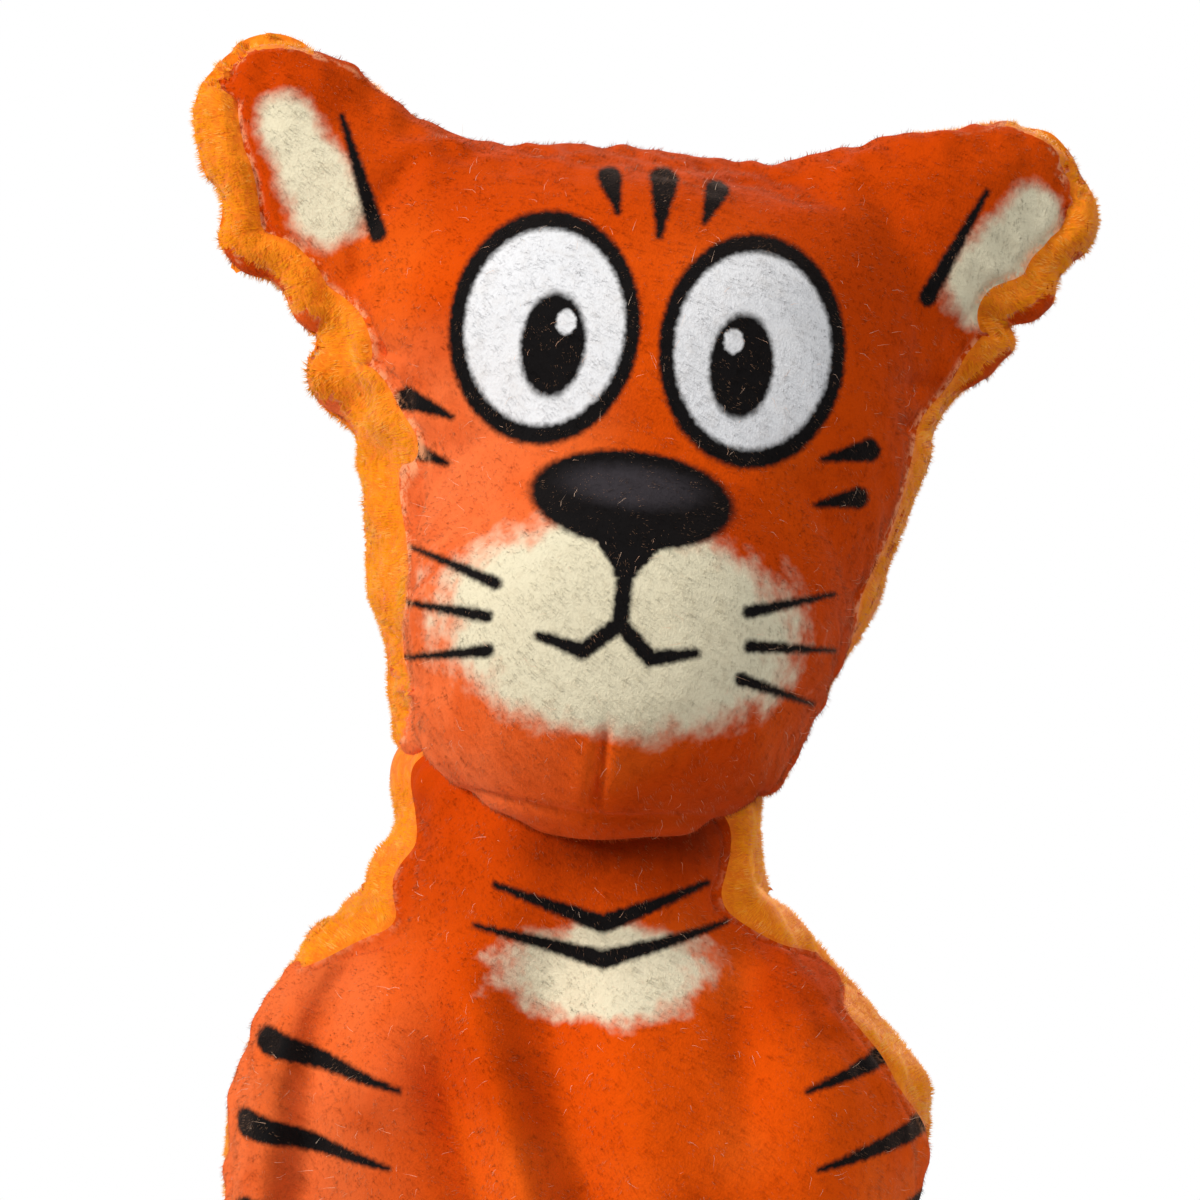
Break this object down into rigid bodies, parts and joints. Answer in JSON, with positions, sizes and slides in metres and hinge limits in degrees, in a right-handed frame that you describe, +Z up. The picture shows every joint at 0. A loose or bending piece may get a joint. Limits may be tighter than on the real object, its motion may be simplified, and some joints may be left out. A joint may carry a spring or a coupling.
{
  "type": "plush cat dog toy",
  "caption": "Stuffed cat toy for a dog, sitting upright: velour front, long-pile plush back, leaning head on a soft neck, folding ears and a squeaker in the belly.",
  "frame": {"origin": "middle of the flat base that the toy sits on", "axes": "+Z up, -Y the way the toy faces, +X to the right as seen from the front"},
  "size_m": [0.1801, 0.109, 0.2915],
  "materials": {
    "printed_velour": "short-pile velour, printed",
    "amber_plush": "plush with a pile of about 8 mm",
    "fibre_fill": "loose polyester fibre",
    "seam_thread": "overlock thread",
    "squeaker_plastic": "blow-moulded",
    "reed_plastic": "moulded"
  },
  "bodies": {
    "trunk": {"body_front_panel": "printed_velour", "body_back_panel": "amber_plush", "base_panel": "amber_plush", "body_filling": "fibre_fill", "body_left_overlock": "seam_thread", "body_right_overlock": "seam_thread", "squeaker_cup": "squeaker_plastic", "squeaker_reed_holder": "reed_plastic", "squeaker_reed": "reed_plastic"},
    "squeaker_cap": {"squeaker_cap": "squeaker_plastic"},
    "neck": {"neck_front_panel": "printed_velour", "neck_back_panel": "amber_plush", "neck_filling": "fibre_fill"},
    "neck_seam": {"neck_seam_ring": "seam_thread"},
    "head": {"face_panel": "printed_velour", "chin_panel": "printed_velour", "head_back_panel": "amber_plush", "head_filling": "fibre_fill", "head_overlock": "seam_thread"},
    "ear_left": {"ear_left_front": "printed_velour", "ear_left_back": "amber_plush"},
    "ear_right": {"ear_right_front": "printed_velour", "ear_right_back": "amber_plush"}
  },
  "joints": [
    {"name": "head_turn", "type": "hinge", "parent": "trunk", "child": "neck", "pos_m": [0, 0.004, 0.14], "axis": [0, 0, 1], "range_deg": [-40, 40], "stiffness_Nm_per_rad": 0.4},
    {"name": "head_tilt", "type": "hinge", "parent": "neck", "child": "neck_seam", "pos_m": [0, 0.004, 0.14], "axis": [0, 1, 0], "range_deg": [-20, 14], "stiffness_Nm_per_rad": 0.5},
    {"name": "head_nod", "type": "hinge", "parent": "neck_seam", "child": "head", "pos_m": [0, 0.004, 0.14], "axis": [0.9936, 0, -0.1132], "range_deg": [-25, 7], "stiffness_Nm_per_rad": 0.5},
    {"name": "ear_left_fold", "type": "hinge", "parent": "head", "child": "ear_left", "pos_m": [-0.04131, 0, 0.25441], "axis": [0.4462, 0, 0.8949], "range_deg": [-35, 35], "stiffness_Nm_per_rad": 0.05},
    {"name": "ear_right_fold", "type": "hinge", "parent": "head", "child": "ear_right", "pos_m": [0.06599, 0, 0.24219], "axis": [0.2334, 0, -0.9724], "range_deg": [-35, 35], "stiffness_Nm_per_rad": 0.05},
    {"name": "squeaker_press", "type": "slide", "parent": "trunk", "child": "squeaker_cap", "axis": [0, 1, 0], "range_m": [0, 0.007], "stiffness_N_per_m": 300}
  ]
}
